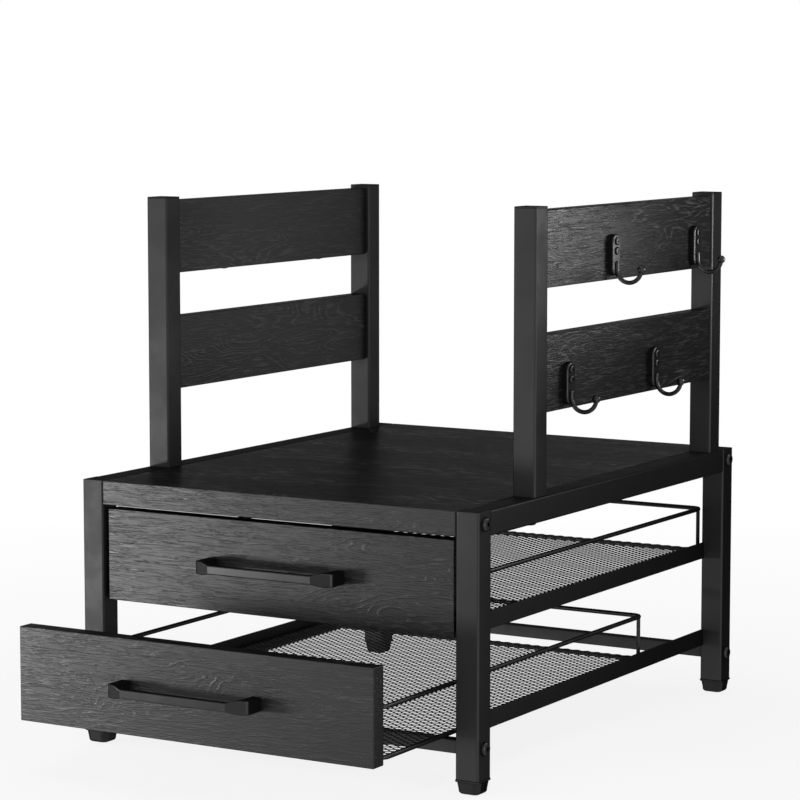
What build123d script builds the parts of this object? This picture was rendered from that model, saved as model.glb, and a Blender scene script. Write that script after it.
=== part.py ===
from build123d import *
from math import atan2, cos, degrees, pi, sin
import os

os.makedirs("parts", exist_ok=True)

# Coffee station organizer: a two-drawer steel stand with a board top and a mug rack on each side.
# Millimetres. +X is the right-hand side, -Y the front with the drawer pulls, +Z up.
# The origin lies on the floor, in the middle of the four feet.

# Stand
stand_width = 332.0
stand_depth = 412.0
deck_height = 195.3
foot_height = 10.0
post = 18.0
tube_wall = 1.2
tube_corner = 1.5
board_thickness = 17.5
board_edge = 0.5
board_side_edge = 0.9
slip = 0.2

# Feet
sole_width = 13.0
sole_corner = 3.0
belly_width = 16.4
belly_corner = 4.6
belly_height = 4.5
waist_width = 17.6
flange_height = 1.8
flange_overlap = 0.5
plug_height = 9.0

# Drawers
drawer_pitch = 70.0
front_width = 290.4
front_height = 67.3
front_thickness = 13.0
front_bottom = 37.6
front_recess = 3.0
photo_opening = 105.7

# Runners: steel angle, one leg up on the outside, one leg inward under the basket
runner_bottom = 37.5
runner_leg = 12.7
runner_shelf = 16.0
runner_wall = 2.0
runner_outer_x = 150.5

# Crossbars
bar_size = 9.5
bar_height = 31.55

# Wire basket. Bent wire has a section with so many sides, which keeps the number of facets down.
wire_sides = 12
rim_wire = 3.5
upright_wire = 3.0
basket_half_width = 142.7
basket_rear_y = 197.8
rim_above_base = 34.0
corner_bend = 6.0
upright_inset = 1.7
mesh_thickness = 0.8
mesh_columns = 5
mesh_rows = 11
mesh_strand = 4.0
mesh_border = 5.0
bracket_x = 100.0
bracket_width = 14.0
bracket_wall = 2.0
bracket_screw_inset = 9.0

# Pulls
pull_half_length = 57.5
pull_reach = 22.0
pull_bar_height = 6.0
pull_bar_depth = 5.5
pull_end_height = 9.6
pull_leg = 8.5
pull_slope_run = 12.0
pull_slope_drop = 4.5
pull_corner = 2.5
pull_bore = 2.1

# Mug racks
rack_top = 398.4
rack_outer_x = 165.0
rack_front_y = -124.0
rack_back_y = 183.0
slat_height = 54.5
slat_thickness = 13.0
slat_recess = 1.5
slat_bottoms = {"lower": 253.5, "upper": 341.0}
cap_flange = 1.2

# Mug hooks, measured from the middle of the rack along Y
hook_offsets = {"lower": (-104.0, 34.0), "upper": (-34.0, 104.0)}
hook_plate_width = 12.0
hook_plate_height = 30.0
hook_plate_thickness = 4.0
hook_above_slat = 3.1
hook_rod = 3.2
hook_radius = 9.9
hook_ball = 6.0
hook_rod_top = 9.0
hook_screw_heights = (18.0, 25.0)
hook_screw_length = 11.0
ball_rings = 7
small_bore = 1.7

# Screws and bolts
bolt_radius = 2.4
bolt_hole = 2.6
bolt_head_radius = 4.9
bolt_head_height = 2.7
bolt_head_slope = 43.0
bolt_head_sides = 24
bolt_socket = 3.0
# Hidden shanks and bores, and small screw heads, have so many sides, which keeps the number of facets down
bore_sides = 8
small_head_sides = 16
pin_thickness = 4.0
pin_height = 30.0
pin_length = 18.0
pin_slack = 0.2

half_width = stand_width / 2
half_depth = stand_depth / 2
post_x = half_width - post / 2
post_y = half_depth - post / 2
inner_x = half_width - post
inner_y = half_depth - post
board_mid = deck_height - board_thickness / 2
plug_width = post - 2 * tube_wall - slip
waist_height = foot_height - flange_height
sole_taper = -degrees(atan2((belly_width - sole_width) / 2, belly_height))
belly_taper = -degrees(atan2((waist_width - belly_width) / 2, waist_height - belly_height))
rack_x = rack_outer_x - post / 2
rack_mid_y = (rack_front_y + rack_back_y) / 2
rack_post_y = (rack_back_y - rack_front_y - post) / 2
slat_length = rack_back_y - rack_front_y - 2 * post - slip
slat_outer_x = rack_outer_x - slat_recess
front_face_y = -half_depth + front_recess
front_back_y = front_face_y + front_thickness
front_mid_z = front_bottom + front_height / 2
shelf_top = runner_bottom + runner_wall
base_wire_z = shelf_top + 0.3 + rim_wire / 2
rim_wire_z = base_wire_z + rim_above_base
loop_front_y = front_back_y + bracket_wall + rim_wire / 2
floor_bottom = base_wire_z + rim_wire / 2
floor_length = basket_rear_y - loop_front_y
floor_mid = (loop_front_y + basket_rear_y) / 2
pull_screw_x = pull_half_length - pull_leg / 2
bracket_screw_z = (base_wire_z + bracket_screw_inset, rim_wire_z - bracket_screw_inset)


def save(part, name):
    """Label a finished piece and write its STEP file."""
    part.label = name
    export_step(part, "parts/" + name + ".step")


def bore(radius, mode=Mode.ADD):
    """The outline of a hidden bore, in the sketch being built."""
    return RegularPolygon(radius, bore_sides, major_radius=False, mode=mode)


def square_tube(length):
    """A square steel tube standing on the origin, with rounded outer corners."""
    with BuildPart() as tube:
        with BuildSketch():
            RectangleRounded(post, post, tube_corner)
            Rectangle(post - 2 * tube_wall, post - 2 * tube_wall, mode=Mode.SUBTRACT)
        extrude(amount=length)
    return tube.part


def button_bolt(shank, shank_radius):
    """A bolt along Z with a hex socket: the head stands on z = 0 and the shank points down."""
    rim = 0.25 * bolt_head_height
    with BuildPart() as bolt:
        for bottom, top, slope in ((0, rim, 0), (rim, bolt_head_height, bolt_head_slope)):
            with BuildSketch(Plane.XY.offset(bottom)):
                RegularPolygon(bolt_head_radius, bolt_head_sides)
            extrude(amount=top - bottom, taper=slope)
        with BuildSketch(Plane.XY.offset(bolt_head_height)):
            RegularPolygon(bolt_socket / 2, 6, major_radius=False)
        extrude(amount=-0.6 * bolt_head_height, mode=Mode.SUBTRACT)
        with BuildSketch():
            RegularPolygon(shank_radius, bore_sides)
        extrude(amount=-shank)
    return bolt.part


def pan_screw(shank, head_radius, head_height, shank_radius):
    """A small screw along Z: the head stands on z = 0 and the shank points down."""
    with BuildPart() as screw:
        with BuildSketch():
            RegularPolygon(head_radius, small_head_sides)
        extrude(amount=head_height, taper=12)
        with BuildSketch():
            RegularPolygon(shank_radius, bore_sides)
        extrude(amount=-shank)
    return screw.part


def group(solid, places):
    """Copies of one solid at several places, kept as separate solids."""
    return Compound(children=[place * solid for place in places])


def facing(x, y, z, direction):
    """A place whose Z axis points along a row direction."""
    return Plane(origin=(x, y, z), z_dir=direction).location


# Stand posts: closed on top, open below for the feet, bored for the bolts
tube_height = deck_height - foot_height
for side, sx in (("left", -1), ("right", 1)):
    for end, sy in (("front", -1), ("rear", 1)):
        with BuildPart(Plane.XY.offset(foot_height)) as stand_post:
            with Locations((sx * post_x, sy * post_y)):
                add(square_tube(tube_height))
            with BuildSketch(Plane.XY.offset(deck_height - tube_wall)):
                with Locations((sx * post_x, sy * post_y)):
                    Rectangle(post - tube_wall, post - tube_wall)
            extrude(amount=tube_wall)
            with BuildSketch(Plane.YZ.offset(sx * post_x - post)):
                with Locations((sy * post_y, bar_height), (sy * post_y, board_mid)):
                    bore(bolt_hole)
            extrude(amount=2 * post, mode=Mode.SUBTRACT)
        save(stand_post.part, end + "_" + side + "_post")

# Feet: a flange under the tube, a bowl-shaped body and a plug up into the tube
for side, sx in (("left", -1), ("right", 1)):
    for end, sy in (("front", -1), ("rear", 1)):
        foot_at = Location((sx * post_x, sy * post_y, 0))
        with BuildPart() as foot:
            with BuildSketch():
                RectangleRounded(sole_width, sole_width, sole_corner)
            extrude(amount=belly_height, taper=sole_taper)
            with BuildSketch(Plane.XY.offset(belly_height)):
                RectangleRounded(belly_width, belly_width, belly_corner)
            extrude(amount=waist_height - belly_height, taper=belly_taper)
            with BuildSketch(Plane.XY.offset(waist_height)):
                RectangleRounded(post + 2 * flange_overlap, post + 2 * flange_overlap, tube_corner + flange_overlap)
            extrude(amount=flange_height)
            with BuildSketch(Plane.XY.offset(foot_height)):
                Rectangle(plug_width, plug_width)
            extrude(amount=plug_height)
        save(foot_at * foot.part, end + "_" + side + "_foot")

# Top rails of the side frames, between the posts
for side, sx in (("left", -1), ("right", 1)):
    with BuildPart() as top_rail:
        with BuildSketch(Plane.XZ.offset(-inner_y)):
            with Locations((sx * post_x, deck_height - post / 2)):
                RectangleRounded(post, post, tube_corner)
                Rectangle(post - 2 * tube_wall, post - 2 * tube_wall, mode=Mode.SUBTRACT)
        extrude(amount=2 * inner_y)
        with BuildSketch(Plane.XY.offset(deck_height - 2 * post)):
            with Locations((sx * rack_x, rack_mid_y - rack_post_y), (sx * rack_x, rack_mid_y + rack_post_y)):
                bore(bolt_hole)
        extrude(amount=3 * post, mode=Mode.SUBTRACT)
    save(top_rail.part, side + "_top_rail")

# Runners, lower and upper, welded between the posts
for level, lift in (("lower", 0.0), ("upper", drawer_pitch)):
    for side, sx in (("left", -1), ("right", 1)):
        outer = sx * runner_outer_x
        inner = sx * (runner_outer_x - runner_shelf)
        web = sx * (runner_outer_x - runner_wall)
        low = runner_bottom + lift
        with BuildPart() as runner:
            with BuildSketch(Plane.XZ.offset(-inner_y)):
                with BuildLine():
                    Polyline(
                        (outer, low),
                        (outer, low + runner_leg),
                        (web, low + runner_leg),
                        (web, low + runner_wall),
                        (inner, low + runner_wall),
                        (inner, low),
                        close=True,
                    )
                make_face()
            extrude(amount=2 * inner_y)
        save(runner.part, level + "_" + side + "_runner")

# Crossbars near the floor, with a tapped bore in each end
for end, sy in (("front", -1), ("rear", 1)):
    with BuildPart() as crossbar:
        with Locations((0, sy * post_y, bar_height)):
            Box(2 * inner_x, bar_size, bar_size)
        chamfer(crossbar.edges().filter_by(Axis.X), 0.6)
        for sx in (-1, 1):
            with BuildSketch(Plane.YZ.offset(sx * inner_x)):
                with Locations((sy * post_y, bar_height)):
                    bore(bolt_hole)
            extrude(amount=-sx * 14.0, mode=Mode.SUBTRACT)
    save(crossbar.part, end + "_crossbar")

# Top board, between the side frames
board_half = inner_x - slip
with BuildPart() as top_board:
    with Locations((0, 0, board_mid)):
        Box(2 * board_half, stand_depth, board_thickness)
    chamfer(top_board.edges().filter_by(Axis.X), board_edge)
    chamfer(top_board.faces().sort_by(Axis.Z)[-1].edges().filter_by(Axis.Y), board_side_edge)
    for sx in (-1, 1):
        for sy in (-1, 1):
            with BuildSketch(Plane.YZ.offset(sx * board_half)):
                with Locations((sy * post_y, board_mid)):
                    bore(bolt_hole)
            extrude(amount=-sx * 20.0, mode=Mode.SUBTRACT)
save(top_board.part, "top_board")

# Frame bolts, through the posts into the crossbars and the board
frame_bolt = button_bolt(post + 12.0, bolt_radius)
frame_places = [
    facing(sx * half_width, sy * post_y, z, (sx, 0, 0))
    for sx in (-1, 1)
    for sy in (-1, 1)
    for z in (bar_height, board_mid)
]
save(group(frame_bolt, frame_places), "frame_bolts")

# Rack posts: open above for the caps, with a nut plate at the foot and slots for the slats' pins
rack_height = rack_top - deck_height
for side, sx in (("left", -1), ("right", 1)):
    for end, sy in (("front", -1), ("rear", 1)):
        at_x = sx * rack_x
        at_y = rack_mid_y + sy * rack_post_y
        slat_x = sx * (slat_outer_x - slat_thickness / 2)
        with BuildPart(Plane.XY.offset(deck_height)) as rack_post:
            with Locations((at_x, at_y)):
                add(square_tube(rack_height - cap_flange))
            with BuildSketch(Plane.XY.offset(deck_height)):
                with Locations((at_x, at_y)):
                    Rectangle(post - tube_wall, post - tube_wall)
                    bore(bolt_hole, mode=Mode.SUBTRACT)
            extrude(amount=5.0)
            with BuildSketch(Plane.XZ.offset(-at_y)):
                for bottom in slat_bottoms.values():
                    with Locations((slat_x, bottom + slat_height / 2)):
                        Rectangle(pin_thickness + pin_slack, pin_height + pin_slack)
            extrude(amount=sy * post / 2, mode=Mode.SUBTRACT)
        save(rack_post.part, end + "_" + side + "_rack_post")

# Caps that close the rack posts
with BuildPart() as cap:
    with BuildSketch():
        Rectangle(plug_width, plug_width)
    extrude(amount=-plug_height)
    with BuildSketch():
        RectangleRounded(post, post, tube_corner)
    extrude(amount=cap_flange)
cap_places = [
    Location((sx * rack_x, rack_mid_y + sy * rack_post_y, rack_top - cap_flange)) for sx in (-1, 1) for sy in (-1, 1)
]
save(group(cap.part, cap_places), "rack_post_caps")

# Rack bolts, from under the top rails up into the rack posts
rack_bolt = button_bolt(post + 8.0, bolt_radius)
rack_bolt_places = [
    facing(sx * rack_x, rack_mid_y + sy * rack_post_y, deck_height - post, (0, 0, -1))
    for sx in (-1, 1)
    for sy in (-1, 1)
]
save(group(rack_bolt, rack_bolt_places), "rack_bolts")

# Rack slats, slotted at both ends for the pins and bored for the hook screws
for side, sx in (("left", -1), ("right", 1)):
    slat_x = sx * (slat_outer_x - slat_thickness / 2)
    for level, bottom in slat_bottoms.items():
        with BuildPart() as slat:
            with Locations((slat_x, rack_mid_y, bottom + slat_height / 2)):
                Box(slat_thickness, slat_length, slat_height)
            chamfer(slat.edges().filter_by(Axis.Y), 0.5)
            for sy in (-1, 1):
                with BuildSketch(Plane.XZ.offset(-(rack_mid_y + sy * slat_length / 2))):
                    with Locations((slat_x, bottom + slat_height / 2)):
                        Rectangle(pin_thickness + pin_slack, pin_height + pin_slack)
                extrude(amount=sy * (pin_length / 2 + 1.0), mode=Mode.SUBTRACT)
            with BuildSketch(Plane.YZ.offset(sx * slat_outer_x)):
                for offset in hook_offsets[level]:
                    for height in hook_screw_heights:
                        with Locations((rack_mid_y + offset, bottom + hook_above_slat + height)):
                            bore(small_bore)
            extrude(amount=-sx * hook_screw_length, mode=Mode.SUBTRACT)
        save(slat.part, side + "_" + level + "_slat")

# Flat steel pins between the slats and the rack posts
with BuildPart() as slat_pin:
    Box(pin_thickness, pin_length, pin_height)
pin_places = [
    Location((sx * (slat_outer_x - slat_thickness / 2), rack_mid_y + sy * slat_length / 2, bottom + slat_height / 2))
    for sx in (-1, 1)
    for sy in (-1, 1)
    for bottom in slat_bottoms.values()
]
save(group(slat_pin.part, pin_places), "slat_pins")


def mug_hook():
    """A hook on the plane x = 0, its plate bottom at z = 0, bending out along +X."""
    rod_x = hook_plate_thickness
    bend_z = hook_radius / 2
    with BuildPart() as hook:
        with BuildSketch(Plane.YZ):
            with Locations((0, hook_plate_height / 2)):
                SlotOverall(hook_plate_height, hook_plate_width, rotation=90)
            for height in hook_screw_heights:
                with Locations((0, height)):
                    bore(small_bore, mode=Mode.SUBTRACT)
        extrude(amount=hook_plate_thickness)
        chamfer(hook.faces().sort_by(Axis.X)[-1].outer_wire().edges(), 0.8)
        with BuildSketch(Plane.XY.offset(bend_z)):
            with Locations((rod_x, 0)):
                RegularPolygon(hook_rod / 2, wire_sides)
        extrude(amount=hook_rod_top - bend_z)
        with BuildSketch(Plane.XY.offset(hook_rod_top)):
            with Locations((rod_x, 0)):
                RegularPolygon(hook_rod / 2, wire_sides)
        extrude(amount=hook_rod / 4, taper=35)
        with BuildSketch(Plane.XY.offset(bend_z)):
            with Locations((rod_x, 0)):
                RegularPolygon(hook_rod / 2, wire_sides)
        bend_axis = Axis((rod_x + hook_radius, 0, bend_z), (0, -1, 0))
        revolve(axis=bend_axis, revolution_arc=180)
        for ring in range(ball_rings):
            angle = pi * (ring + 0.5) / ball_rings - pi / 2
            with BuildSketch(Plane.XY.offset(bend_z + hook_ball / 2 * sin(angle))):
                with Locations((rod_x + 2 * hook_radius, 0)):
                    RegularPolygon(hook_ball / 2 * cos(angle), wire_sides)
        loft(ruled=True)
    return hook.part


# Mug hooks and their screws, on the outer faces of the slats
hook = mug_hook()
hook_screw = pan_screw(hook_screw_length, 2.9, 1.3, 1.5)
screw_places = []
for side, sx in (("left", -1), ("right", 1)):
    for level, bottom in slat_bottoms.items():
        for end, offset in zip(("front", "rear"), hook_offsets[level]):
            turn = 0 if sx > 0 else 180
            hook_at = Location((sx * slat_outer_x, rack_mid_y + offset, bottom + hook_above_slat), (0, 0, turn))
            save(hook_at * hook, side + "_" + level + "_" + end + "_hook")
            for height in hook_screw_heights:
                screw_places.append(
                    facing(
                        sx * (slat_outer_x + hook_plate_thickness),
                        rack_mid_y + offset,
                        bottom + hook_above_slat + height,
                        (sx, 0, 0),
                    )
                )
save(group(hook_screw, screw_places), "hook_screws")


def pull():
    """A drawer pull on the plane y = 0, reaching out along -Y, centred on the origin."""
    half = pull_half_length
    tip = -pull_reach
    shoulder = tip + pull_slope_drop
    knee = half - pull_corner - pull_slope_run
    low = pull_bar_height / 2
    high = pull_end_height / 2
    with BuildPart() as handle:
        with BuildSketch(Plane.XY.offset(-high)):
            with BuildLine():
                Polyline((0, tip), (knee, tip), (half - pull_corner, shoulder))
                CenterArc((half - pull_corner, shoulder + pull_corner), pull_corner, -90, 90)
                Polyline(
                    (half, shoulder + pull_corner),
                    (half, 0),
                    (half - pull_leg, 0),
                    (half - pull_leg, shoulder + pull_bar_depth),
                    (knee - 1.5, tip + pull_bar_depth),
                    (0, tip + pull_bar_depth),
                )
                mirror(about=Plane.YZ)
            make_face()
        extrude(amount=pull_end_height)
        with BuildSketch(Plane.XZ.offset(-1)):
            with BuildLine():
                Polyline(
                    (0, low),
                    (knee, low),
                    (half - pull_corner, high),
                    (half + 1, high),
                    (half + 1, -high),
                    (half - pull_corner, -high),
                    (knee, -low),
                    (0, -low),
                )
                mirror(about=Plane.YZ)
            make_face()
        extrude(amount=pull_reach + 2, mode=Mode.INTERSECT)
        with BuildSketch(Plane.XZ):
            with Locations((-pull_screw_x, 0), (pull_screw_x, 0)):
                bore(pull_bore)
        extrude(amount=9.0, mode=Mode.SUBTRACT)
    return handle.part


def wire_loop(height):
    """A closed rectangle of wire with bent corners, lying level."""
    straight_x = basket_half_width - corner_bend
    straight_y = floor_length / 2 - corner_bend
    with BuildPart() as loop:
        for sx in (-1, 1):
            for sy in (-1, 1):
                bend_y = floor_mid + sy * straight_y
                bend_axis = Axis((sx * straight_x, bend_y, height), (0, 0, sx * sy))
                with BuildSketch(Plane.XZ.offset(-bend_y)):
                    with Locations((sx * basket_half_width, height)):
                        RegularPolygon(rim_wire / 2, wire_sides)
                revolve(axis=bend_axis, revolution_arc=90)
            with BuildSketch(Plane.XZ.offset(-(floor_mid - straight_y))):
                with Locations((sx * basket_half_width, height)):
                    RegularPolygon(rim_wire / 2, wire_sides)
            extrude(amount=-2 * straight_y)
        for sy in (-1, 1):
            with BuildSketch(Plane.YZ.offset(-straight_x)):
                with Locations((floor_mid + sy * floor_length / 2, height)):
                    RegularPolygon(rim_wire / 2, wire_sides)
            extrude(amount=2 * straight_x)
    return loop.part


# Drawers: a board front with a pull, and a wire basket with an expanded-steel floor.
# The lower one stands pulled out by photo_opening, the upper one is shut.
for level, lift, out in (("lower", 0.0, photo_opening), ("upper", drawer_pitch, 0.0)):
    at = Location((0, -out, lift))

    with BuildPart() as front:
        with Locations((0, front_face_y + front_thickness / 2, front_mid_z)):
            Box(front_width, front_thickness, front_height)
        chamfer(front.edges(), 0.5)
        with BuildSketch(Plane.XZ.offset(-front_face_y)):
            with Locations((-pull_screw_x, front_mid_z), (pull_screw_x, front_mid_z)):
                bore(pull_bore)
        extrude(amount=-front_thickness, mode=Mode.SUBTRACT)
        with BuildSketch(Plane.XZ.offset(-front_back_y)):
            for z in bracket_screw_z:
                with Locations((-bracket_x, z), (bracket_x, z)):
                    bore(small_bore)
        extrude(amount=10.0, mode=Mode.SUBTRACT)
    save(at * front.part, level + "_drawer_front")

    save(at * Location((0, front_face_y, front_mid_z)) * pull(), level + "_pull")

    pull_screw = pan_screw(front_thickness + 7.0, 3.8, 2.2, 2.0)
    pull_screws = [facing(sx * pull_screw_x, front_back_y, front_mid_z, (0, 1, 0)) for sx in (-1, 1)]
    save(at * group(pull_screw, pull_screws), level + "_pull_screws")

    save(at * wire_loop(rim_wire_z), level + "_basket_rim")
    save(at * wire_loop(base_wire_z), level + "_basket_base")

    upright_length = rim_above_base - rim_wire
    with BuildPart() as upright:
        Cylinder(upright_wire / 2, upright_length)
    upright_z = (rim_wire_z + base_wire_z) / 2
    upright_places = [
        Location((sx * (basket_half_width - upright_inset), basket_rear_y - upright_inset, upright_z))
        for sx in (-1, 1)
    ]
    save(at * group(upright.part, upright_places), level + "_basket_uprights")

    with BuildPart() as bracket:
        with BuildSketch(Plane.XZ.offset(-front_back_y)):
            with Locations((0, upright_z)):
                RectangleRounded(bracket_width, rim_above_base + 6.0, 2.0)
            for z in bracket_screw_z:
                with Locations((0, z)):
                    bore(small_bore, mode=Mode.SUBTRACT)
        extrude(amount=-bracket_wall)
    bracket_places = [Location((sx * bracket_x, 0, 0)) for sx in (-1, 1)]
    save(at * group(bracket.part, bracket_places), level + "_basket_brackets")

    bracket_screw = pan_screw(10.0, 3.4, 1.8, 1.5)
    bracket_screws = [
        facing(sx * bracket_x, front_back_y + bracket_wall, z, (0, 1, 0))
        for sx in (-1, 1)
        for z in bracket_screw_z
    ]
    save(at * group(bracket_screw, bracket_screws), level + "_bracket_screws")

    # The floor lies on the base wire. Its openings are diamonds in staggered rows, cut off at the border.
    pitch_x = (2 * basket_half_width - 2 * mesh_border) / mesh_columns
    pitch_y = (floor_length - 2 * mesh_border) / mesh_rows
    hole_x = pitch_x / 2 - 1.6 * mesh_strand
    hole_y = pitch_y / 2 - mesh_strand
    with BuildPart() as floor:
        with BuildSketch(Plane.XY.offset(floor_bottom)):
            with Locations((0, floor_mid)):
                RectangleRounded(2 * basket_half_width, floor_length, corner_bend)
        extrude(amount=mesh_thickness)
        with BuildSketch(Plane.XY.offset(floor_bottom)):
            with Locations((0, floor_mid)):
                for more in (0, 1):
                    with GridLocations(pitch_x, pitch_y, mesh_columns + more, mesh_rows + more):
                        Polygon((-hole_x, 0), (0, -hole_y), (hole_x, 0), (0, hole_y))
                Rectangle(pitch_x * mesh_columns, pitch_y * mesh_rows, mode=Mode.INTERSECT)
        extrude(amount=mesh_thickness, mode=Mode.SUBTRACT)
        with BuildSketch(Plane.XY.offset(floor_bottom)):
            for sx in (-1, 1):
                with Locations((sx * (basket_half_width - upright_inset), basket_rear_y - upright_inset)):
                    Circle(upright_wire / 2 + 0.1)
        extrude(amount=mesh_thickness, mode=Mode.SUBTRACT)
    save(at * floor.part, level + "_basket_floor")
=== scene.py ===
import bpy
import math
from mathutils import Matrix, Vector


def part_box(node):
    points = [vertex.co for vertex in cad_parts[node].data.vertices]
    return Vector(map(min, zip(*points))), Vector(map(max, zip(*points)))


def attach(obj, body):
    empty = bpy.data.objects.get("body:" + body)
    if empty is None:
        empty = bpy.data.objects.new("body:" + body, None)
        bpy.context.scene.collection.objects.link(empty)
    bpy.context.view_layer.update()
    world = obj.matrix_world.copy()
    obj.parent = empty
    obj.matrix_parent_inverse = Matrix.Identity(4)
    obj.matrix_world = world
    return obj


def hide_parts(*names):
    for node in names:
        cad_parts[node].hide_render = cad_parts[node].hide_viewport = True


# Coffee station organizer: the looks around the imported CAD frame.
# Metres. +X is the right-hand side, -Y the front with the drawer pulls, +Z up.

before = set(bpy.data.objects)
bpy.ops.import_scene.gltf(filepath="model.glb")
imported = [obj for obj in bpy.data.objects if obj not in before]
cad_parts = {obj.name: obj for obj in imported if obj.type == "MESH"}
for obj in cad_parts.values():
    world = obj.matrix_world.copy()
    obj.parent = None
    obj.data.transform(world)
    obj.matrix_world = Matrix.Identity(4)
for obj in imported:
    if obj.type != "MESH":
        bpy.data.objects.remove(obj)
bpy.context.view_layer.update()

MM = 0.001
X, Y, Z = 0, 1, 2
SIDES = ("left", "right")
ENDS = ("front", "rear")
LEVELS = ("lower", "upper")

# Places closer than this count as the same
SAME = 1e-6

# Points closer than this are merged into one
MERGE_WITHIN = 0.004 * MM

# The share of a normal, and of an edge, that has to lie along an axis
FACING = 0.9
ALONG = 0.99

# Degrees between two faces up to which they are shaded as one surface
SHADE_PULL = 17
SHADE_PLAIN = 35
SHADE_MOULDED = 40
SHADE_UPRIGHT = 50
SHADE_ROUND = 60

# Steel tubes, slimmer bars and angles
TUBE_CORNER = 1.5 * MM
BAR_CORNER = 0.8 * MM
WIDEST_BAR = 12.0 * MM
SHEET_EDGE = 0.35 * MM
RUNNER_WALL = 2.0 * MM

# Boards
BOARD_EDGE = 0.6 * MM

# Caps of the rack posts
CAP_EDGE = 0.4 * MM

# Feet: the body stands in by a step under the flange, tapers down to its belly and is straight below
FOOT_HEIGHT = 10.0 * MM
FOOT_FLANGE = 1.6 * MM
FLANGE_CORNER = 2.0 * MM
FLANGE_EDGE = 0.5 * MM
FOOT_STEP = 0.1 * MM
FOOT_CORNER = 5.4 * MM
FOOT_TAPER = 0.90
FOOT_BELLY = 2.8 * MM
FOOT_SOLE_ROUND = 2.4 * MM

# Bolt heads: radius and height, then the socket's radius over its corners and its depth
BOLT_HEAD = 4.9 * MM
BOLT_HEIGHT = 2.7 * MM
BOLT_SOCKET = 1.75 * MM
SOCKET_DEPTH = 1.5 * MM

# Screw heads: radius and height
HOOK_SCREW = (2.9 * MM, 1.3 * MM)
PULL_SCREW = (3.8 * MM, 2.2 * MM)
BRACKET_SCREW = (3.4 * MM, 1.8 * MM)

# Heads, as shares of their height and radius, with the dome's rings in degrees
HEAD_RIM = 0.3
DOME_TOP = 0.55
DOME_RINGS = (15, 30, 45, 60, 75)
CROSS_DEPTH = 0.55
CROSS_LENGTH = 0.62
CROSS_WIDTH = 0.12

# Mug hooks: the rod, its bend and the ball by their radius, heights from the foot of the plate
HOOK_PLATE_DEPTH = 4.0 * MM
HOOK_PLATE_WIDTH = 12.0 * MM
HOOK_PLATE_HEIGHT = 30.0 * MM
HOOK_PLATE_ROUND = 5.99 * MM
HOOK_PLATE_EDGE = 1.0 * MM
HOOK_ROD = 1.6 * MM
HOOK_BEND = 9.9 * MM
HOOK_BALL = 3.0 * MM
HOOK_ROD_TOP = 9.0 * MM
HOOK_SCREW_HEIGHTS = (18.0 * MM, 25.0 * MM)

# Pulls: a slim bar, slopes at both its ends, and a leg at each end that is taller than the bar
PULL_BAR_DEPTH = 5.5 * MM
PULL_BAR_HEIGHT = 6.0 * MM
PULL_END_HEIGHT = 9.6 * MM
PULL_LEG = 7.5 * MM
PULL_SLOPE_RUN = 12.0 * MM
PULL_SLOPE_DROP = 4.5 * MM
PULL_CORNER = 2.5 * MM
PULL_EDGE = 0.7 * MM

# Baskets: wires and brackets
WIRE_BEND = 6.0 * MM
UPRIGHT_EDGE = 0.3 * MM
BRACKET_WIDTH = 14.0 * MM
BRACKET_CORNER = 2.0 * MM
BRACKET_EDGE = 0.3 * MM

# Mesh: the diamonds' pitch both ways, the width of a strand and the thickness of the sheet
MESH_LONG = 8.8 * MM
MESH_SHORT = 6.2 * MM
MESH_STRAND = 0.8 * MM
MESH_SHEET = 0.4 * MM

# How strongly each finish mirrors
WOOD_GLOSS = 0.34
PAINT_GLOSS = 0.36
PLASTIC_GLOSS = 0.25

# Painted shade: reflections dim towards edge on, standing in for darker surroundings there
# The gloss fades over this range of view, from 0 face on to 1 edge on, down to this share
GLOSS_SHADE_FADE = (0.22, 0.58)
GLOSS_SHADE_LEFT = 0.003

# Grain of the boards: how fine each layer is along and across, and how dense the rings are
GRAIN_FIBRE = (60.0, 900.0)
GRAIN_WISPS = (26.0, 300.0)
GRAIN_FIGURE = (7.0, 46.0)
GRAIN_PATCHES = (6.0, 24.0)
GRAIN_RINGS = 130.0

# Tones of the grain from the ground up to the raised streaks, and the roughness of both
GRAIN_TONES = (
    (0.00, (0.0050, 0.0050, 0.0052)),
    (0.30, (0.0075, 0.0075, 0.0077)),
    (0.70, (0.0140, 0.0140, 0.0140)),
    (1.00, (0.0260, 0.0256, 0.0252)),
)
GRAIN_ROUGHNESS = (0.42, 0.34)

# How deep the relief of each finish is
GRAIN_RELIEF = 0.30 * MM
PAINT_RELIEF = 0.03 * MM
PLASTIC_RELIEF = 0.04 * MM

# Strength of the world for rays that the eye doesn't see
WORLD_FILL = 0.5

# Floor: its size, how far it lies below the feet and its tone. Its glow rises over a range of
# distance from a share near the stand to full
FLOOR_SIZE = 24
FLOOR_DROP = 0.3 * MM
FLOOR_WHITE = 0.9
FLOOR_FADE = (0.35, 1.1)
FLOOR_NEAR_SHARE = 0.85

# Camera, solved from the photograph's straight edges
CAMERA_AT = (1.1290, -1.9265, 0.4902)
CAMERA_YAW = math.radians(30.779)
CAMERA_PITCH = math.radians(6.312)
CAMERA_LENS = 132.95
CAMERA_SENSOR = 36.0


def leave_all():
    """Leave edit mode and deselect everything."""
    if bpy.context.object and bpy.context.object.mode != "OBJECT":
        bpy.ops.object.mode_set(mode="OBJECT")
    bpy.ops.object.select_all(action="DESELECT")


def take(piece):
    """Make a piece the only selected and active one."""
    leave_all()
    piece.select_set(True)
    bpy.context.view_layer.objects.active = piece


def named(name):
    """Name the object just added, and fix its place in its mesh."""
    bpy.ops.object.transform_apply(location=True, rotation=True, scale=True)
    piece = bpy.context.object
    piece.name = name
    piece.data.name = name
    return piece


def block(name, low, high):
    """A cube that fills the box from low to high."""
    leave_all()
    low, high = Vector(low), Vector(high)
    bpy.ops.mesh.primitive_cube_add(size=1, location=(low + high) / 2, scale=high - low)
    return named(name)


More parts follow.
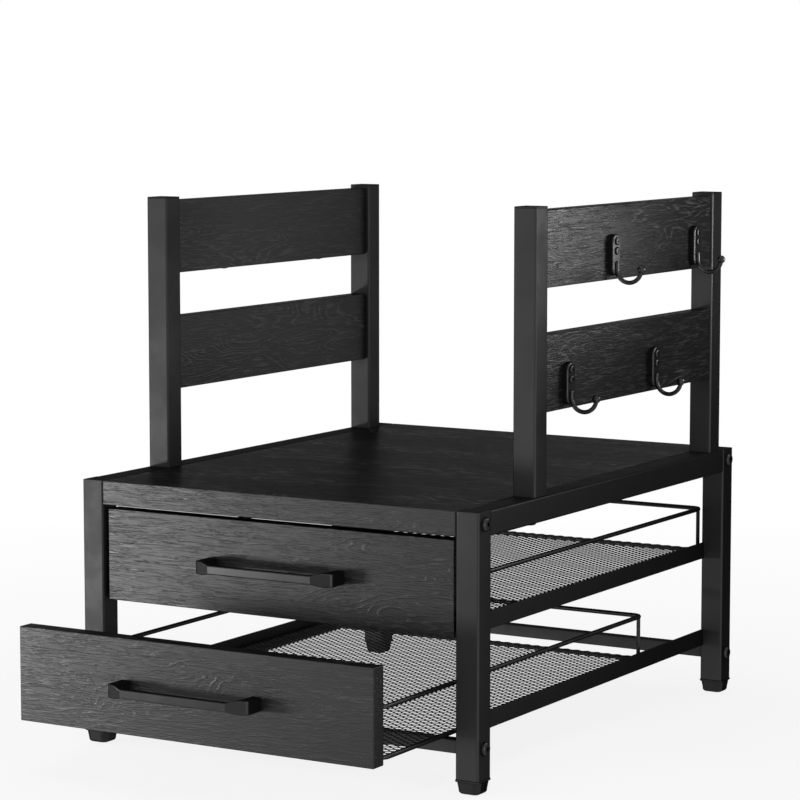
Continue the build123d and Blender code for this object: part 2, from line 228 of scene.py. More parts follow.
def ball(name, radius, place, segments, rings):
    """A smooth ball."""
    leave_all()
    bpy.ops.mesh.primitive_uv_sphere_add(segments=segments, ring_count=rings, radius=radius, location=place)
    piece = named(name)
    smooth(piece, SHADE_ROUND)
    return piece


def pick(piece, kind, test):
    """Enter edit mode with what passes a test selected.

    The test takes a face's centre and normal, an edge's two ends, or a point.
    """
    take(piece)
    bpy.ops.object.mode_set(mode="EDIT")
    bpy.ops.mesh.select_mode(type=kind)
    bpy.ops.mesh.select_all(action="DESELECT")
    bpy.ops.object.mode_set(mode="OBJECT")
    mesh = piece.data
    if kind == "FACE":
        for face in mesh.polygons:
            face.select = test(face.center, face.normal)
    elif kind == "EDGE":
        for edge in mesh.edges:
            a, b = (mesh.vertices[i].co for i in edge.vertices)
            edge.select = test(a, b)
    else:
        for point in mesh.vertices:
            point.select = test(point.co)
    bpy.ops.object.mode_set(mode="EDIT")


def everything(*_):
    """A test that every face, edge or point passes."""
    return True


def nothing(*_):
    """A test that no face, edge or point passes."""
    return False


def runs_along(axis):
    """A test for the edges that run along one axis."""
    def test(a, b):
        run = b - a
        return abs(run[axis]) > ALONG * run.length
    return test


def lies_in(axis, place):
    """A test for the edges that lie in the plane at one place along an axis."""
    def test(a, b):
        return abs(a[axis] - place) < SAME and abs(b[axis] - place) < SAME
    return test


def lies_level(a, b):
    """A test for the edges that lie level."""
    return abs(a.z - b.z) < SAME


def soften(piece, width, segments=2, test=everything):
    """Bevel the edges that pass a test."""
    pick(piece, "EDGE", test)
    bpy.ops.mesh.bevel(offset=width, segments=segments, profile=0.5, affect="EDGES")
    leave_all()


def draw_out(move, scale=None, centre=None):
    """Extrude the selected faces by a vector, then scale them about a centre."""
    bpy.ops.mesh.extrude_region_move(TRANSFORM_OT_translate={"value": move})
    if scale:
        bpy.ops.transform.resize(value=scale, center_override=centre)


def shift(piece, test, move):
    """Move the points that pass a test."""
    pick(piece, "VERT", test)
    bpy.ops.transform.translate(value=move)
    leave_all()


def slice_at(piece, point, normal, clear=False):
    """Cut all faces along a plane, and clear what lies beyond it if asked."""
    pick(piece, "FACE", everything)
    bpy.ops.mesh.bisect(plane_co=point, plane_no=normal, clear_outer=clear)
    leave_all()


def merge_flat(piece):
    """Merge neighbouring faces that lie in one plane to within a degree."""
    pick(piece, "FACE", everything)
    bpy.ops.mesh.dissolve_limited(angle_limit=math.radians(1))
    leave_all()


def outward(piece):
    """Merge doubles and turn all faces outwards."""
    pick(piece, "VERT", everything)
    bpy.ops.mesh.remove_doubles(threshold=MERGE_WITHIN)
    bpy.ops.mesh.normals_make_consistent(inside=False)
    leave_all()


def apply_modifiers(piece):
    """Apply the modifiers of a piece in order."""
    take(piece)
    for modifier in list(piece.modifiers):
        bpy.ops.object.modifier_apply(modifier=modifier.name)
    leave_all()


def smooth(piece, degrees=SHADE_PLAIN):
    """Smooth shading that keeps flat faces flat, with edges sharper than an angle left crisp."""
    take(piece)
    bpy.ops.object.shade_smooth_by_angle(angle=math.radians(degrees))
    even = piece.modifiers.new("even_shading", "WEIGHTED_NORMAL")
    even.keep_sharp = True
    apply_modifiers(piece)


def cut_away(piece, cutter):
    """Cut one piece out of another and delete the cutter."""
    modifier = piece.modifiers.new("recess", "BOOLEAN")
    modifier.operation = "DIFFERENCE"
    modifier.solver = "EXACT"
    modifier.object = cutter
    apply_modifiers(piece)
    bpy.data.objects.remove(cutter)


def join(pieces, name):
    """Join pieces into one."""
    leave_all()
    for piece in pieces:
        piece.select_set(True)
    bpy.context.view_layer.objects.active = pieces[0]
    bpy.ops.object.join()
    piece = bpy.context.object
    piece.name = name
    piece.data.name = name
    leave_all()
    return piece


def twin(piece, name, move, turn):
    """A copy with its own mesh, turned about the origin and then moved."""
    take(piece)
    bpy.ops.object.duplicate(linked=False)
    copy = bpy.context.object
    copy.rotation_euler = turn
    copy.location = move
    return named(name)


def finish(piece, body, slot, material, *replaced):
    """Give a piece its material and its body, and hide the CAD nodes that it stands for."""
    piece.data.materials.clear()
    piece.data.materials.append(material)
    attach(piece, body)
    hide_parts(*replaced)


def new_node(tree, kind, values=None, operation=None):
    """Add a shader node, with its inputs' values by name and the operation of a maths node."""
    node = tree.nodes.new(kind)
    if operation:
        node.operation = operation
    for name, value in (values or {}).items():
        node.inputs[name].default_value = value
    return node


class Nodes:
    """Short calls for adding and linking the nodes of one material."""

    def __init__(self, name):
        self.material = bpy.data.materials.new(name)
        self.material.use_nodes = True
        self.tree = self.material.node_tree
        self.tree.nodes.clear()
        output = new_node(self.tree, "ShaderNodeOutputMaterial")
        self.shader = new_node(self.tree, "ShaderNodeBsdfPrincipled")
        self.link(self.shader.outputs["BSDF"], output.inputs["Surface"])
        self.place = new_node(self.tree, "ShaderNodeTexCoord").outputs["Object"]

    def link(self, source, target):
        """Link an output to an input."""
        self.tree.links.new(source, target)

    def stretched(self, scale):
        """Object coordinates, scaled."""
        node = new_node(self.tree, "ShaderNodeMapping", {"Scale": scale})
        self.link(self.place, node.inputs["Vector"])
        return node.outputs["Vector"]

    def noise(self, vector, scale=1.0, detail=4.0, roughness=0.5, distortion=0.0):
        """A cloudy pattern from 0 to 1."""
        values = {"Scale": scale, "Detail": detail, "Roughness": roughness, "Distortion": distortion}
        node = new_node(self.tree, "ShaderNodeTexNoise", values)
        self.link(vector, node.inputs["Vector"])
        return node.outputs["Fac"]

    def spread(self, value, low, high, to_low=0.0, to_high=1.0):
        """Map a value smoothly from one range onto another."""
        values = {"From Min": low, "From Max": high, "To Min": to_low, "To Max": to_high}
        node = new_node(self.tree, "ShaderNodeMapRange", values)
        node.interpolation_type = "SMOOTHSTEP"
        self.link(value, node.inputs["Value"])
        return node.outputs["Result"]

    def reckon(self, operation, a, b=0.0):
        """The result of a maths node on two values, each a number or an output."""
        node = new_node(self.tree, "ShaderNodeMath", operation=operation)
        for socket, value in zip(node.inputs, (a, b)):
            if isinstance(value, float):
                socket.default_value = value
            else:
                self.link(value, socket)
        return node.outputs["Value"]

    def plus(self, a, b):
        """One value plus another."""
        return self.reckon("ADD", a, b)

    def times(self, a, b):
        """One value times another."""
        return self.reckon("MULTIPLY", a, b)

    def colour(self, factor, stops):
        """Set the base colour from a ramp of near blacks."""
        ramp = new_node(self.tree, "ShaderNodeValToRGB")
        elements = ramp.color_ramp.elements
        while len(elements) < len(stops):
            elements.new(0.5)
        for element, (at, rgb) in zip(elements, stops):
            element.position = at
            element.color = (*rgb, 1)
        self.link(factor, ramp.inputs["Fac"])
        self.link(ramp.outputs["Color"], self.shader.inputs["Base Color"])

    def rough(self, value):
        """Set the roughness."""
        self.link(value, self.shader.inputs["Roughness"])

    def shaded_gloss(self, level):
        """A specular level that fades where the surface is seen edge on: painted shade on its reflections."""
        # Painted shade: the reflection is cut where the surface is seen at a flat angle
        layer = new_node(self.tree, "ShaderNodeLayerWeight", {"Blend": 0.5})
        shaded_level = self.spread(layer.outputs["Facing"], *GLOSS_SHADE_FADE, level, GLOSS_SHADE_LEFT * level)
        self.link(shaded_level, self.shader.inputs["Specular IOR Level"])

    def bump(self, height, distance, strength):
        """A relief that rises by the distance from where the height is 0 to where it is 1."""
        values = {"Strength": strength, "Distance": distance}
        node = new_node(self.tree, "ShaderNodeBump", values)
        self.link(height, node.inputs["Height"])
        self.link(node.outputs["Normal"], self.shader.inputs["Normal"])


def wood_grain(name, axis):
    """Black laminate with an embossed oak grain that runs along one axis."""
    n = Nodes(name)

    def along(layer):
        length, width = layer
        scale = [width, width, width]
        scale[axis] = length
        return n.stretched(scale)

    fibre = n.noise(along(GRAIN_FIBRE), detail=2.5, roughness=0.55, distortion=0.9)
    wisps = n.noise(along(GRAIN_WISPS), detail=2.0, roughness=0.5, distortion=0.8)
    figure = n.noise(along(GRAIN_FIGURE), detail=2.0, roughness=0.4, distortion=0.5)
    rings = n.reckon("SINE", n.times(figure, GRAIN_RINGS))
    patches = n.spread(n.noise(along(GRAIN_PATCHES), detail=1.0), 0.46, 0.60)
    flames = n.times(n.spread(rings, 0.25, 0.95), patches)
    flames = n.times(flames, n.spread(fibre, 0.30, 0.55, 0.35, 1.0))
    streaks = n.times(n.spread(fibre, 0.42, 0.64), n.spread(wisps, 0.38, 0.62, 0.25, 1.0))
    relief = n.plus(n.times(streaks, 0.75), n.times(flames, 0.75))
    n.colour(relief, GRAIN_TONES)
    n.rough(n.spread(relief, 0.0, 0.8, *GRAIN_ROUGHNESS))
    n.bump(n.plus(relief, n.times(fibre, 0.5)), GRAIN_RELIEF, 0.5)
    n.shaded_gloss(WOOD_GLOSS)
    return n.material


def painted_steel(name, tone, roughness):
    """Satin black powder coat: a fine orange peel, with faint rubbed patches."""
    n = Nodes(name)
    peel = n.noise(n.place, scale=1400.0, detail=2.0)
    cloud = n.noise(n.place, scale=38.0, detail=4.0, roughness=0.6)
    rub = n.spread(n.noise(n.place, scale=120.0, detail=6.0, roughness=0.7), 0.58, 0.75)
    n.colour(n.plus(n.times(cloud, 0.5), n.times(rub, 0.35)), (
        (0.15, (0.85 * tone, 0.85 * tone, 0.87 * tone)),
        (0.60, (1.25 * tone, 1.25 * tone, 1.27 * tone)),
    ))
    uneven = n.spread(cloud, 0.3, 0.7, roughness - 0.04, roughness + 0.05)
    n.rough(n.plus(uneven, n.times(rub, -0.03)))
    n.bump(n.plus(peel, n.times(cloud, 0.4)), PAINT_RELIEF, 0.35)
    n.shaded_gloss(PAINT_GLOSS)
    return n.material


def moulded_plastic(name, tone):
    """Matte black plastic with a fine mould grain."""
    n = Nodes(name)
    grain = n.noise(n.place, scale=2100.0, detail=3.0)
    cloud = n.noise(n.place, scale=60.0, detail=3.0)
    n.colour(cloud, (
        (0.3, (tone, tone, tone)),
        (0.7, (1.5 * tone, 1.5 * tone, 1.5 * tone)),
    ))
    n.rough(n.spread(cloud, 0.3, 0.7, 0.48, 0.60))
    n.bump(grain, PLASTIC_RELIEF, 0.4)
    n.shaded_gloss(PLASTIC_GLOSS)
    return n.material


# Finishes: steel and plastic by tone, and steel by roughness too
grain_along_x = wood_grain("black_oak_along_x", X)
grain_along_y = wood_grain("black_oak_along_y", Y)
frame_paint = painted_steel("frame_powder_coat", 0.008, 0.56)
wire_paint = painted_steel("wire_powder_coat", 0.006, 0.38)
mesh_paint = painted_steel("mesh_powder_coat", 0.006, 0.45)
fitting_paint = painted_steel("pull_and_hook_paint", 0.005, 0.33)
bolt_finish = painted_steel("black_oxide", 0.005, 0.34)
foot_plastic = moulded_plastic("foot_plastic", 0.004)


def square_tube(node, axis):
    """A square tube, or a slimmer bar, with rounded long edges, in its CAD node's box."""
    low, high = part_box(node)
    piece = block(node + "_tube", low, high)
    corner = TUBE_CORNER if min(high - low) > WIDEST_BAR else BAR_CORNER
    soften(piece, corner, 4, runs_along(axis))
    at_low = lies_in(axis, low[axis])
    at_high = lies_in(axis, high[axis])
    soften(piece, SHEET_EDGE, 2, lambda a, b: at_low(a, b) or at_high(a, b))
    smooth(piece)
    finish(piece, "frame", "frame", frame_paint, node)


def angle_runner(node):
    """An angle of steel: a web on the outside and a shelf that points inward."""
    low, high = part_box(node)
    side = 1 if low.x > 0 else -1
    outer, inner = (high.x, low.x) if side > 0 else (low.x, high.x)
    web = outer - side * RUNNER_WALL
    shelf_top = low.z + RUNNER_WALL
    piece = block(node + "_angle", (min(outer, web), low.y, low.z), (max(outer, web), high.y, high.z))
    slice_at(piece, (outer, 0, shelf_top), (0, 0, 1))
    pick(piece, "FACE", lambda c, n: n.x * side < -FACING and c.z < shelf_top)
    draw_out((inner - web, 0, 0))
    merge_flat(piece)
    soften(piece, SHEET_EDGE)
    smooth(piece)
    finish(piece, "frame", "frame", frame_paint, node)


def board(node, body, material):
    """A board with eased edges, in its CAD node's box."""
    low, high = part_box(node)
    piece = block(node + "_panel", low, high)
    soften(piece, BOARD_EDGE, 3)
    smooth(piece)
    finish(piece, body, "board", material, node)


def foot(node):
    """A plastic foot: a flange under the post and a body that tapers to a rounded sole."""
    low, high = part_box(node)
    centre = (low + high) / 2
    base = FOOT_HEIGHT - FOOT_FLANGE
    flange = block(node + "_flange", (low.x, low.y, base), (high.x, high.y, FOOT_HEIGHT))
    soften(flange, FLANGE_CORNER, 5, runs_along(Z))
    soften(flange, FLANGE_EDGE, 3, lies_level)
    smooth(flange, SHADE_MOULDED)
    corner = (low.x + FOOT_STEP, low.y + FOOT_STEP, 0)
    body = block(node + "_body", corner, (high.x - FOOT_STEP, high.y - FOOT_STEP, base))
    slice_at(body, (0, 0, FOOT_BELLY), (0, 0, 1))
    soften(body, FOOT_CORNER, 8, runs_along(Z))
    pick(body, "VERT", lambda p: p.z < FOOT_BELLY + SAME)
    bpy.ops.transform.resize(value=(FOOT_TAPER, FOOT_TAPER, 1), center_override=(centre.x, centre.y, 0))
    soften(body, FOOT_SOLE_ROUND, 5, lambda a, b: max(a.z, b.z) < SAME)
    outward(body)
    smooth(body, SHADE_MOULDED)
    piece = join([flange, body], node + "_moulding")
    finish(piece, "frame", "plastic", foot_plastic, node)


def button_head(name, radius, height):
    """A domed head that stands on z = 0."""
    leave_all()
    rim = HEAD_RIM * height
    bpy.ops.mesh.primitive_cylinder_add(vertices=36, radius=radius, depth=rim, location=(0, 0, rim / 2))
    piece = named(name)
    pick(piece, "FACE", lambda c, n: n.z > FACING)
    last_z, last_share = rim, 1.0
    for degrees in DOME_RINGS:
        angle = math.radians(degrees)
        z = rim + (height - rim) * math.sin(angle)
        share = DOME_TOP + (1 - DOME_TOP) * math.cos(angle)
        narrower = share / last_share
        draw_out((0, 0, z - last_z), (narrower, narrower, 1), (0, 0, z))
        last_z, last_share = z, share
    leave_all()
    return piece


def hex_bolt_head(name):
    """A button head with a six-sided socket."""
    head = button_head(name, BOLT_HEAD, BOLT_HEIGHT)
    top = (0, 0, BOLT_HEIGHT)
    bpy.ops.mesh.primitive_cylinder_add(vertices=6, radius=BOLT_SOCKET, depth=2 * SOCKET_DEPTH, location=top)
    cut_away(head, named("socket_cutter"))
    smooth(head)
    return head


def cross_screw_head(name, radius, height):
    """A screw head with a cross recess."""
    head = button_head(name, radius, height)
    bottom = height - CROSS_DEPTH * height
    long, narrow = CROSS_LENGTH * radius, CROSS_WIDTH * radius
    slots = [block("slot", (-x, -y, bottom), (x, y, 2 * height)) for x, y in ((long, narrow), (narrow, long))]
    for slot in slots:
        cut_away(head, slot)
    smooth(head)
    return head


def set_of(master, name, places, body, node):
    """Copies of one fastener, joined: each place is a point and the axis that its head faces along."""
    copies = []
    for point, direction in places:
        turn = Vector((0, 0, 1)).rotation_difference(Vector(direction)).to_euler()
        copies.append(twin(master, name + "_copy", point, turn))
    finish(join(copies, name), body, "fastener", bolt_finish, node)


def hook_plate(name, back, face, y, bottom, top):
    """The oblong plate of a hook, with round ends and an eased front edge."""
    reach = HOOK_PLATE_WIDTH / 2
    plate = block(name, (min(back, face), y - reach, bottom), (max(back, face), y + reach, top))
    soften(plate, HOOK_PLATE_ROUND, 12, runs_along(X))
    outward(plate)
    soften(plate, HOOK_PLATE_EDGE, 3, lies_in(X, face))
    smooth(plate, SHADE_MOULDED)
    return plate


def hook_rod(name, start, bend_z, side):
    """The rod of a hook: it drops from its start to the bend and turns up in a half circle."""
    face, y, top = start
    leave_all()
    bpy.ops.mesh.primitive_circle_add(vertices=20, radius=HOOK_ROD, location=start)
    rod = named(name)
    pick(rod, "EDGE", everything)
    draw_out((0, 0, bend_z - top))
    centre = (face + side * HOOK_BEND, y, bend_z)
    bpy.ops.mesh.spin(steps=24, angle=math.pi, center=centre, axis=(0, side, 0))
    pick(rod, "EDGE", nothing)
    bpy.ops.mesh.select_non_manifold()
    bpy.ops.mesh.fill_holes(sides=0)
    outward(rod)
    smooth(rod, SHADE_ROUND)
    return rod


def mug_hook(node):
    """A hook: an oblong plate, a bent rod and a ball tip. Returns the places of its screws."""
    low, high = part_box(node)
    side = 1 if low.x > 0 else -1
    back = low.x if side > 0 else high.x
    face = back + side * HOOK_PLATE_DEPTH
    y = (low.y + high.y) / 2
    bottom = high.z - HOOK_PLATE_HEIGHT
    bend_z = bottom + HOOK_BEND / 2
    start = (face, y, bottom + HOOK_ROD_TOP)
    tip = (face + 2 * side * HOOK_BEND, y, bend_z)
    pieces = [
        hook_plate(node + "_plate", back, face, y, bottom, high.z),
        hook_rod(node + "_rod", start, bend_z, side),
        ball(node + "_top", HOOK_ROD, start, 20, 12),
        ball(node + "_ball", HOOK_BALL, tip, 28, 18),
    ]
    finish(join(pieces, node + "_body"), "frame", "fitting", fitting_paint, node)
    return [((face, y, bottom + height), (side, 0, 0)) for height in HOOK_SCREW_HEIGHTS]


def half_pull(name, low, high):
    """The right half of a pull, drawn out of its bar: the slope, the taller end and the leg."""
    z = (low.z + high.z) / 2
    front, wall, half = low.y, high.y, high.x
    knee = half - PULL_CORNER - PULL_SLOPE_RUN
    leg = half - PULL_LEG
    back = front + PULL_BAR_DEPTH
    inside = back + PULL_SLOPE_DROP
    slope = PULL_SLOPE_DROP / PULL_SLOPE_RUN
    drop = slope * (leg - knee)
    piece = block(name, (0, front, z - PULL_BAR_HEIGHT / 2), (knee, back, z + PULL_BAR_HEIGHT / 2))

    # The slope, up to the leg
    pick(piece, "FACE", lambda c, n: n.x > FACING)
    draw_out((leg - knee, drop, 0), (1, 1, PULL_END_HEIGHT / PULL_BAR_HEIGHT), (leg, front, z))
    shift(piece, lambda p: p.x > leg - SAME and p.y > back, (0, inside - back - drop, 0))

    # The end, which goes on sloping in front and runs straight behind
    pick(piece, "FACE", lambda c, n: n.x > FACING)
    draw_out((PULL_LEG, slope * PULL_LEG, 0))
    shift(piece, lambda p: p.x > half - SAME and p.y > inside, (0, -slope * PULL_LEG, 0))

    # The leg, back to the drawer front
    pick(piece, "FACE", lambda c, n: n.y > FACING and c.x > leg)
    draw_out((0, wall - inside, 0))

    # The middle, opened so that the other half can join it
    pick(piece, "FACE", lambda c, n: n.x < -FACING and abs(c.x) < SAME)
    bpy.ops.mesh.delete(type="FACE")
    leave_all()
    return piece


def drawer_pull(node, body):
    """A bar pull: a slim bar whose ends slope back, grow taller and turn in to the drawer front."""
    low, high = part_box(node)
    z = (low.z + high.z) / 2
    half, wall = high.x, high.y
    inside = low.y + PULL_BAR_DEPTH + PULL_SLOPE_DROP
    upright = runs_along(Z)

    def outer_corner(a, b):
        """The upright edges at both ends, but not those at the wall."""
        return upright(a, b) and abs(a.x) > half - SAME and a.y < wall - SAME

    def along_rim(a, b):
        """The rims above and below, but neither the lines across them nor the edges at the wall."""
        same_side = (a.z - z) * (b.z - z) > 0
        across = abs(a.x - b.x) < SAME and abs(a.x) < half - SAME and min(a.y, b.y) < inside - SAME
        return same_side and not across and min(a.y, b.y) < wall - 10 * SAME

    piece = half_pull(node + "_bar", low, high)
    mirror = piece.modifiers.new("other_half", "MIRROR")
    mirror.use_clip = True
    apply_modifiers(piece)
    merge_flat(piece)
    outward(piece)
    soften(piece, PULL_CORNER, 7, outer_corner)
    soften(piece, PULL_EDGE, 6, along_rim)
    smooth(piece, SHADE_PULL)
    finish(piece, body, "fitting", fitting_paint, node)


def wire_loop(node, body):
    """A closed loop of round wire with bent corners."""
    low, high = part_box(node)
    radius = (high.z - low.z) / 2
    size = high - low
    leave_all()
    bpy.ops.mesh.primitive_plane_add(size=1, location=(low + high) / 2)
    bpy.context.object.scale = (size.x - 2 * radius, size.y - 2 * radius, 1)
    piece = named(node + "_wire")
    pick(piece, "VERT", everything)
    bpy.ops.mesh.bevel(offset=WIRE_BEND, segments=8, affect="VERTICES")
    pick(piece, "FACE", everything)
    bpy.ops.mesh.delete(type="ONLY_FACE")
    take(piece)
    bpy.ops.object.convert(target="CURVE")
    curve = bpy.context.object.data
    curve.bevel_depth = radius
    curve.bevel_resolution = 4
    bpy.ops.object.convert(target="MESH")
    piece = bpy.context.object
    outward(piece)
    smooth(piece, SHADE_ROUND)
    finish(piece, body, "wire", wire_paint, node)


def basket_uprights(node, body):
    """The two upright wires at the rear corners, with eased ends."""
    low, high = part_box(node)
    radius = (high.y - low.y) / 2
    tall = high.z - low.z
    y, z = low.y + radius, (low.z + high.z) / 2
    parts = []
    for x in (low.x + radius, high.x - radius):
        leave_all()
        bpy.ops.mesh.primitive_cylinder_add(vertices=20, radius=radius, depth=tall, location=(x, y, z))
        upright = named("upright")
        soften(upright, UPRIGHT_EDGE, 2, lies_level)
        smooth(upright, SHADE_UPRIGHT)
        parts.append(upright)
    finish(join(parts, node + "_wires"), body, "wire", wire_paint, node)


def basket_brackets(node, body):
    """The two plates that hold the basket's loops to the drawer front."""
    low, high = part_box(node)
    parts = []
    for x in (low.x, high.x - BRACKET_WIDTH):
        plate = block("plate", (x, low.y, low.z), (x + BRACKET_WIDTH, high.y, high.z))
        soften(plate, BRACKET_CORNER, 5, runs_along(Y))
        soften(plate, BRACKET_EDGE, 2, lies_in(Y, high.y))
        smooth(plate)
        parts.append(plate)
    finish(join(parts, node + "_plates"), body, "fitting", fitting_paint, node)


def mesh_pattern(name, low, high):
    """A flat sheet with staggered diamond openings that reaches past the box from low to high."""
    centre = (low + high) / 2
    columns = math.ceil((high.x - low.x) / MESH_LONG) + 1
    rows = math.ceil((high.y - low.y) / MESH_SHORT) + 1
    start = (centre.x - columns * MESH_LONG / 2, centre.y - rows * MESH_SHORT / 2, low.z)
    leave_all()
    bpy.ops.mesh.primitive_circle_add(vertices=4, radius=1, fill_type="NGON", location=start)
    bpy.context.object.scale = (MESH_LONG / 2, MESH_SHORT / 2, 1)
    piece = named(name)
    pick(piece, "FACE", everything)
    bpy.ops.mesh.inset(thickness=MESH_STRAND / 2)
    bpy.ops.mesh.delete(type="FACE")
    pick(piece, "FACE", everything)
    bpy.ops.mesh.duplicate_move(TRANSFORM_OT_translate={"value": (MESH_LONG / 2, MESH_SHORT / 2, 0)})
    leave_all()
    for count, step in ((columns, (MESH_LONG, 0, 0)), (rows, (0, MESH_SHORT, 0))):
        array = piece.modifiers.new("repeat", "ARRAY")
        array.use_relative_offset = False
        array.use_constant_offset = True
        array.constant_offset_displace = step
        array.count = count
    apply_modifiers(piece)
    outward(piece)
    return piece


def mesh_floor(node, body):
    """The expanded-steel floor: the pattern, cut off at the basket's edge and given its thickness."""
    low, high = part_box(node)
    piece = mesh_pattern(node + "_mesh", low, high)
    for point, normal in ((low, (-1, 0, 0)), (low, (0, -1, 0)), (high, (1, 0, 0)), (high, (0, 1, 0))):
        slice_at(piece, point, normal, clear=True)
    solid = piece.modifiers.new("thickness", "SOLIDIFY")
    solid.thickness = MESH_SHEET
    solid.offset = 1
    apply_modifiers(piece)
    finish(piece, body, "mesh", mesh_paint, node)


def post_caps():
    """The caps on top of the rack posts."""
    _, cap_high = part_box("rack_post_caps")
    caps = []
    for side in SIDES:
        for end in ENDS:
            low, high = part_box(f"{end}_{side}_rack_post")
            cap = block("cap", (low.x, low.y, high.z), (high.x, high.y, cap_high.z))
            soften(cap, TUBE_CORNER, 4, runs_along(Z))
            soften(cap, CAP_EDGE, 3, lies_in(Z, cap_high.z))
            smooth(cap)
            caps.append(cap)
    finish(join(caps, "rack_cap_set"), "frame", "plastic", foot_plastic, "rack_post_caps")


def frame_bolts(bolt):
    """Two bolt heads on the outer side of each post."""
    bolt_low, bolt_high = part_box("frame_bolts")
    places = []
    for side, way in zip(SIDES, (-1, 1)):
        for end in ENDS:
            low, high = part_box(f"{end}_{side}_post")
            x, y = high.x if way > 0 else low.x, (low.y + high.y) / 2
            for z in (bolt_low.z + BOLT_HEAD, bolt_high.z - BOLT_HEAD):
                places.append(((x, y, z), (way, 0, 0)))
    set_of(bolt, "frame_bolt_heads", places, "frame", "frame_bolts")


def rack_bolts(bolt):
    """A bolt head under the rail below each rack post."""
    places = []
    for side in SIDES:
        rail_low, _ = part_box(f"{side}_top_rail")
        for end in ENDS:
            low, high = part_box(f"{end}_{side}_rack_post")
            x, y = (low.x + high.x) / 2, (low.y + high.y) / 2
            places.append(((x, y, rail_low.z), (0, 0, -1)))
    set_of(bolt, "rack_bolt_heads", places, "frame", "rack_bolts")


def pull_screws(level, body, screw):
    """The screw heads behind a drawer front that hold its pull."""
    _, front_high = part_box(level + "_drawer_front")
    low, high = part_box(level + "_pull_screws")
    reach, _ = PULL_SCREW
    z = (low.z + high.z) / 2
    places = [((x, front_high.y, z), (0, 1, 0)) for x in (low.x + reach, high.x - reach)]
    set_of(screw, level + "_pull_screw_heads", places, body, level + "_pull_screws")


def bracket_screws(level, body, screw):
    """The screw heads on the two brackets of a drawer."""
    _, plate_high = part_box(level + "_basket_brackets")
    low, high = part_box(level + "_bracket_screws")
    reach, _ = BRACKET_SCREW
    places = []
    for x in (low.x + reach, high.x - reach):
        for z in (low.z + reach, high.z - reach):
            places.append(((x, plate_high.y, z), (0, 1, 0)))
    set_of(screw, level + "_bracket_screw_heads", places, body, level + "_bracket_screws")


# Stand and racks
for end in ENDS:
    for side in SIDES:
        square_tube(f"{end}_{side}_post", Z)
        square_tube(f"{end}_{side}_rack_post", Z)
        foot(f"{end}_{side}_foot")
    square_tube(f"{end}_crossbar", X)
for side in SIDES:
    square_tube(f"{side}_top_rail", Y)
    for level in LEVELS:
        angle_runner(f"{level}_{side}_runner")
        board(f"{side}_{level}_slat", "frame", grain_along_y)
board("top_board", "frame", grain_along_x)
post_caps()

# Bolts
bolt = hex_bolt_head("bolt_master")
frame_bolts(bolt)
rack_bolts(bolt)
bpy.data.objects.remove(bolt)

# Hooks and their screws
hook_screw = cross_screw_head("screw_master", *HOOK_SCREW)
screw_places = []
for side in SIDES:
    for level in LEVELS:
        for end in ENDS:
            screw_places += mug_hook(f"{side}_{level}_{end}_hook")
set_of(hook_screw, "hook_screw_heads", screw_places, "frame", "hook_screws")
bpy.data.objects.remove(hook_screw)

# Drawers
pull_screw = cross_screw_head("pull_screw_master", *PULL_SCREW)
bracket_screw = cross_screw_head("bracket_screw_master", *BRACKET_SCREW)
for level in LEVELS:
    drawer_body = level + "_drawer"
    board(level + "_drawer_front", drawer_body, grain_along_x)
    drawer_pull(level + "_pull", drawer_body)
    wire_loop(level + "_basket_rim", drawer_body)
    wire_loop(level + "_basket_base", drawer_body)
    basket_uprights(level + "_basket_uprights", drawer_body)
    basket_brackets(level + "_basket_brackets", drawer_body)
    mesh_floor(level + "_basket_floor", drawer_body)
    pull_screws(level, drawer_body, pull_screw)
    bracket_screws(level, drawer_body, bracket_screw)
bpy.data.objects.remove(pull_screw)
bpy.data.objects.remove(bracket_screw)

# The pins stay as the CAD has them, hidden in the slats and posts
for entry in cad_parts["slat_pins"].material_slots:
    entry.material = bolt_finish


def seen_rays(tree):
    """One for rays from the camera, off glossy surfaces or through clear ones, zero for the rest."""
    path = new_node(tree, "ShaderNodeLightPath")
    seen = path.outputs["Is Camera Ray"]
    for kind in ("Is Glossy Ray", "Is Transmission Ray"):
        either = new_node(tree, "ShaderNodeMath", operation="MAXIMUM")
        tree.links.new(seen, either.inputs[0])
        tree.links.new(path.outputs[kind], either.inputs[1])
        seen = either.outputs[0]
    return seen


def pale_world():
    """A white world to the eye and in reflections, and a soft fill on the object."""
    world = bpy.data.worlds.new("studio")
    bpy.context.scene.world = world
    world.use_nodes = True
    tree = world.node_tree
    tree.nodes.clear()
    strength = new_node(tree, "ShaderNodeMapRange", {"To Min": WORLD_FILL, "To Max": 1.0})
    tree.links.new(seen_rays(tree), strength.inputs["Value"])
    background = new_node(tree, "ShaderNodeBackground", {"Color": (1, 1, 1, 1)})
    tree.links.new(strength.outputs["Result"], background.inputs["Strength"])
    output = new_node(tree, "ShaderNodeOutputWorld")
    tree.links.new(background.outputs[0], output.inputs["Surface"])


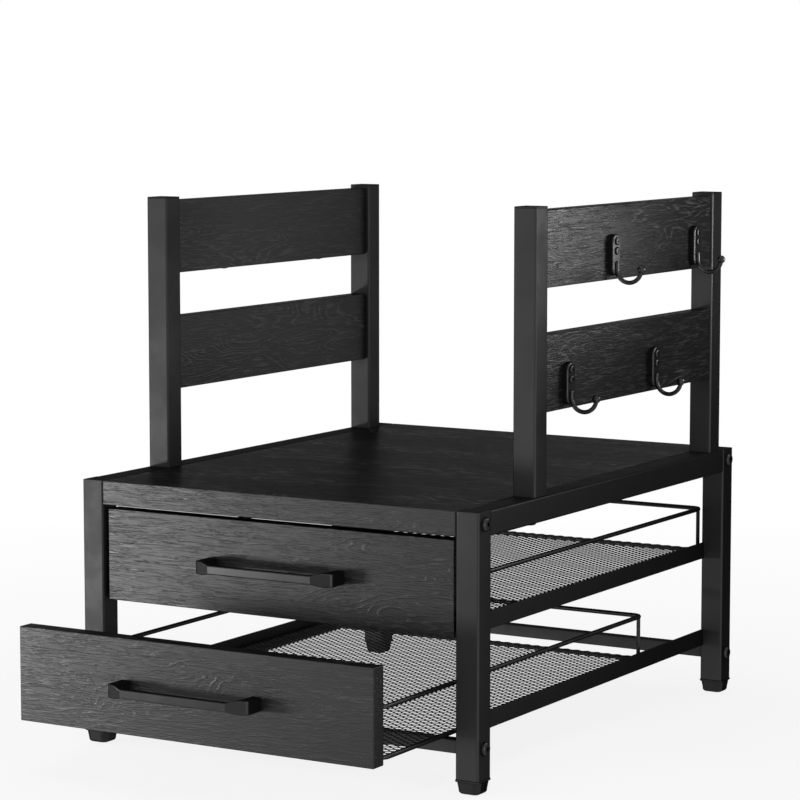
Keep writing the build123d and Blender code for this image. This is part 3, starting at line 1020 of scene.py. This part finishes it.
def floor_finish():
    """A matte white that also glows where the eye sees it, and glows fully far from the stand."""
    material = bpy.data.materials.new("studio_floor")
    material.use_nodes = True
    tree = material.node_tree
    tree.nodes.clear()
    place = new_node(tree, "ShaderNodeTexCoord")
    length = new_node(tree, "ShaderNodeVectorMath", operation="LENGTH")
    tree.links.new(place.outputs["Object"], length.inputs[0])
    near, far = FLOOR_FADE
    values = {"From Min": near, "From Max": far, "To Min": FLOOR_NEAR_SHARE, "To Max": 1.0}
    fade = new_node(tree, "ShaderNodeMapRange", values)
    tree.links.new(length.outputs["Value"], fade.inputs["Value"])
    share = new_node(tree, "ShaderNodeMath", operation="MULTIPLY")
    tree.links.new(seen_rays(tree), share.inputs[0])
    tree.links.new(fade.outputs["Result"], share.inputs[1])
    white = (FLOOR_WHITE, FLOOR_WHITE, FLOOR_WHITE, 1)
    diffuse = new_node(tree, "ShaderNodeBsdfDiffuse", {"Color": white})
    glow = new_node(tree, "ShaderNodeEmission")
    mix = new_node(tree, "ShaderNodeMixShader")
    for socket, source in zip(mix.inputs, (share, diffuse, glow)):
        tree.links.new(source.outputs[0], socket)
    output = new_node(tree, "ShaderNodeOutputMaterial")
    tree.links.new(mix.outputs[0], output.inputs["Surface"])
    return material


def pale_floor():
    """A white floor that keeps the soft shadow near the stand and fades to white far away."""
    leave_all()
    bpy.ops.mesh.primitive_plane_add(size=FLOOR_SIZE, location=(0, 0, -FLOOR_DROP))
    floor = named("studio_floor")
    floor.data.materials.append(floor_finish())


def softbox(name, place, aim, size, power, spread=180):
    """A rectangular area light that points at a spot, with its beam's width in degrees."""
    light = bpy.data.lights.new(name, "AREA")
    light.shape = "RECTANGLE"
    light.size, light.size_y = size
    light.energy = power
    light.spread = math.radians(spread)
    lamp = bpy.data.objects.new(name, light)
    lamp.location = place
    lamp.rotation_euler = (Vector(aim) - Vector(place)).to_track_quat("-Z", "Y").to_euler()
    bpy.context.scene.collection.objects.link(lamp)


def photo_camera():
    """The camera at the photograph's place and angle."""
    camera_data = bpy.data.cameras.new("camera")
    camera_data.lens = CAMERA_LENS
    camera_data.sensor_width = CAMERA_SENSOR
    camera = bpy.data.objects.new("camera", camera_data)
    camera.location = CAMERA_AT
    camera.rotation_euler = (math.radians(90) - CAMERA_PITCH, 0, CAMERA_YAW)
    bpy.context.scene.collection.objects.link(camera)
    bpy.context.scene.camera = camera


# Studio
pale_world()
pale_floor()
softbox("key_front_left", (-0.64, -0.76, 0.045), aim=(-0.15, -0.25, 0.045), size=(0.24, 0.08), power=4.6)
softbox("top", (-0.4, -0.4, 2.2), aim=(0, 0, 0.1), size=(1.4, 1.4), power=8)
softbox("fill_right", (0.36, 0.30, 0.365), aim=(0.17, 0.0, 0.40), size=(0.12, 0.08), power=0.8, spread=110)
softbox("side_right", (1.1, -0.6, 0.15), aim=(0.1, -0.2, 0.1), size=(0.2, 0.3), power=3)
photo_camera()
bpy.context.scene.view_settings.view_transform = "Standard"

bpy.context.view_layer.update()
